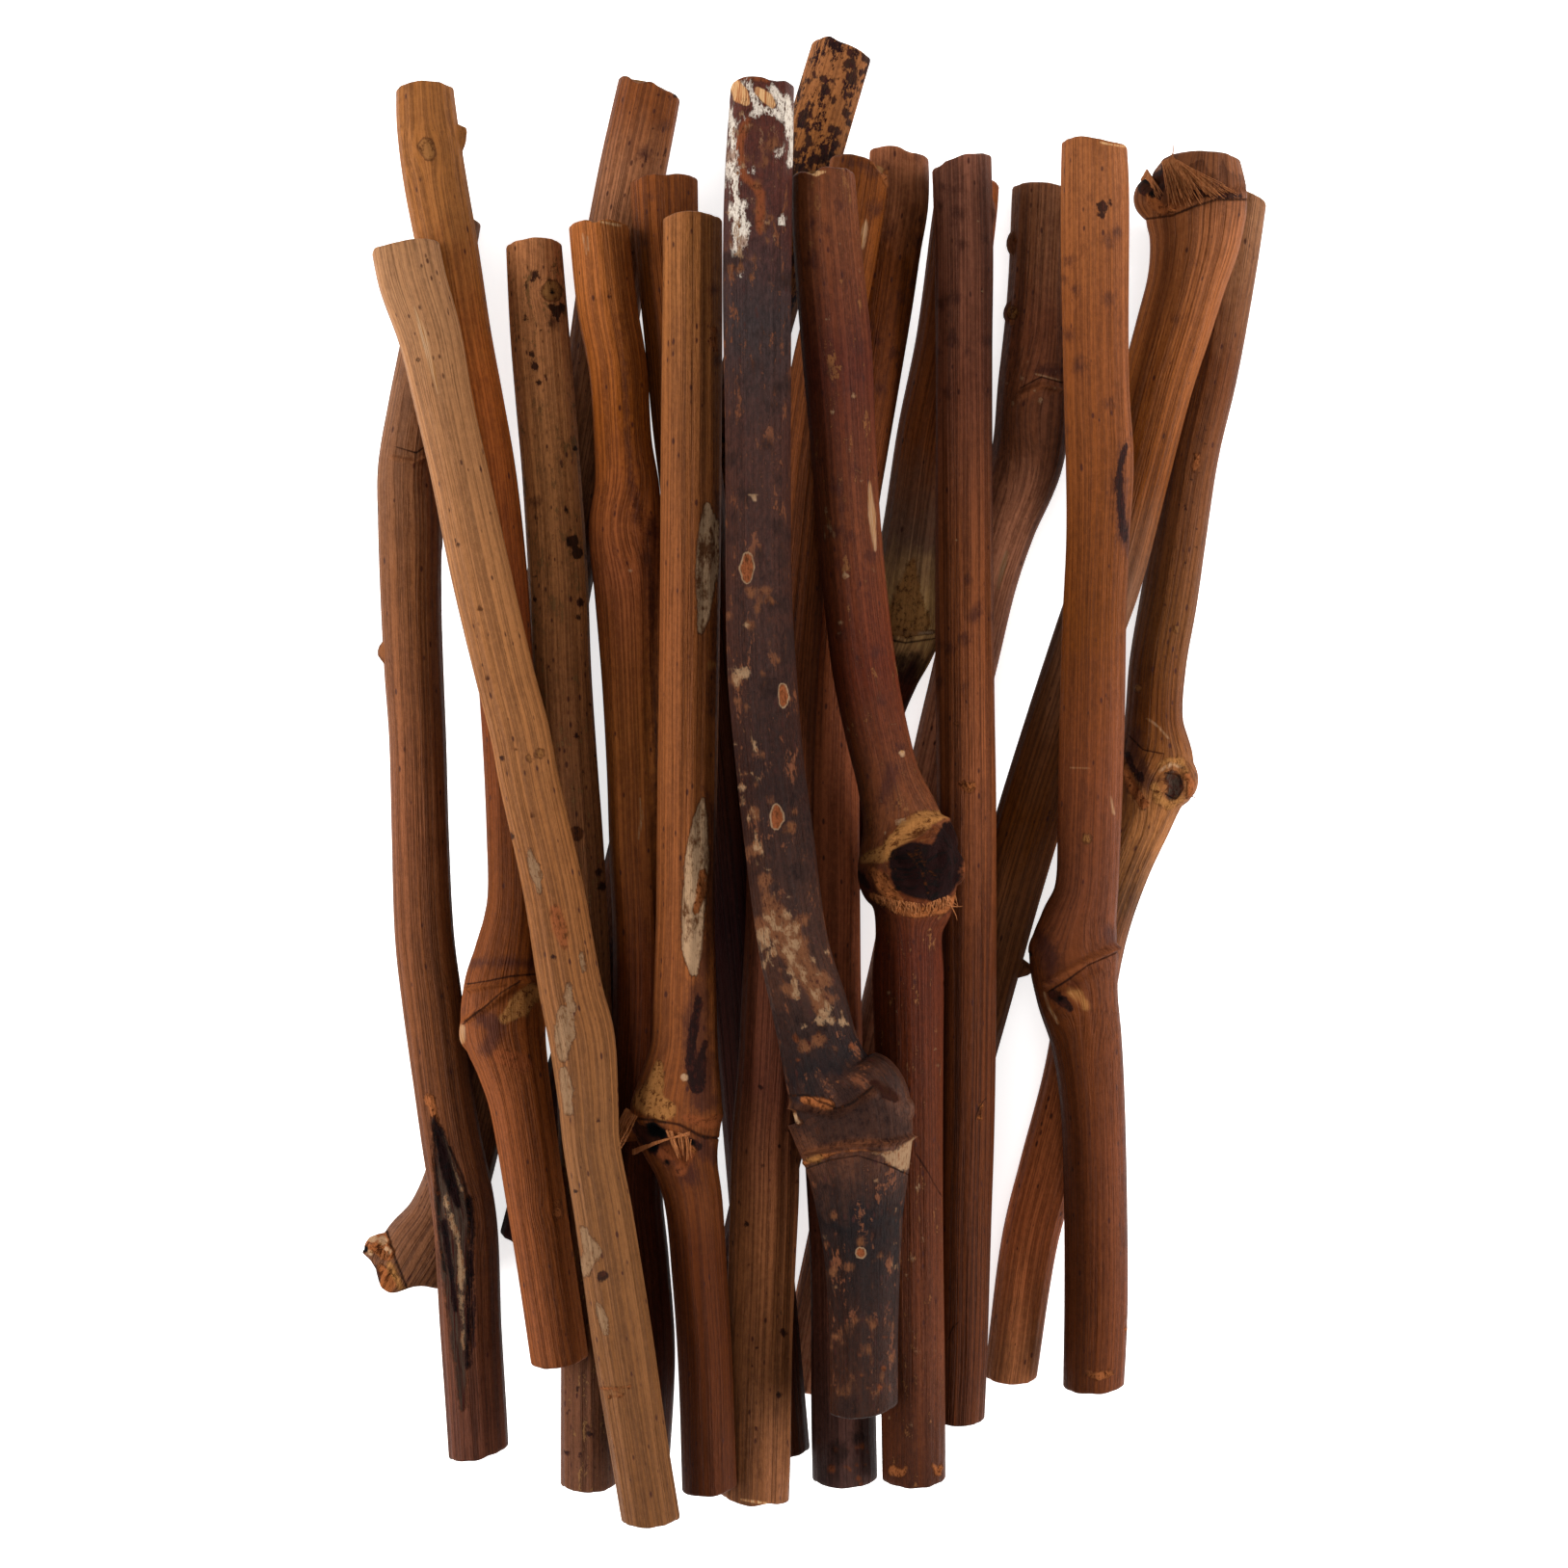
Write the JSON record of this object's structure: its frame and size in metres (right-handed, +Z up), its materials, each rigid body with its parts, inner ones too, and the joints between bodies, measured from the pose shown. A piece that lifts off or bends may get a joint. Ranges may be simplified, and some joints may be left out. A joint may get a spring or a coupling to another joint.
{
  "type": "bundle of twigs",
  "caption": "Loose bundle of dry vine twigs, sawn to one length and laid flat across each other, with knuckles, knots, scars and bark left on.",
  "frame": {"origin": "on the ground under the middle of the bundle's box", "axes": "+Y along the twigs towards the top of the plan, +X to the right of the plan, +Z up"},
  "size_m": [0.1406, 0.2279, 0.0446],
  "materials": {
    "brown_wood": "dry, finely ribbed, speckled",
    "red_wood": "dry, smooth to ribbed, reddish",
    "orange_wood": "dry, smooth, orange brown",
    "tan_wood": "dry, pale, with ring-like pores and grey crusts",
    "dark_bark": "rough dark bark with pale peeled patches",
    "charred_bark": "rough bark with near-black blotches"
  },
  "bodies": {
    "root": {"far_right_knuckled_twig": "brown_wood", "frayed_knob_twig": "brown_wood", "elbow_twig": "red_wood", "pale_knuckle_twig": "brown_wood", "charred_leaning_twig": "charred_bark", "hooked_twig": "brown_wood", "tucked_brown_twig": "brown_wood", "left_russet_twig": "red_wood", "dark_red_twig": "red_wood", "amber_twig": "orange_wood", "speckled_twig": "brown_wood", "ribbed_straight_twig": "red_wood", "right_bent_twig": "orange_wood", "orange_knuckled_twig": "orange_wood", "chipped_red_twig": "red_wood", "scarred_knuckled_twig": "brown_wood", "heart_knot_twig": "red_wood", "dark_bark_twig": "dark_bark", "slanted_tan_twig": "tan_wood"}
  },
  "joints": []
}
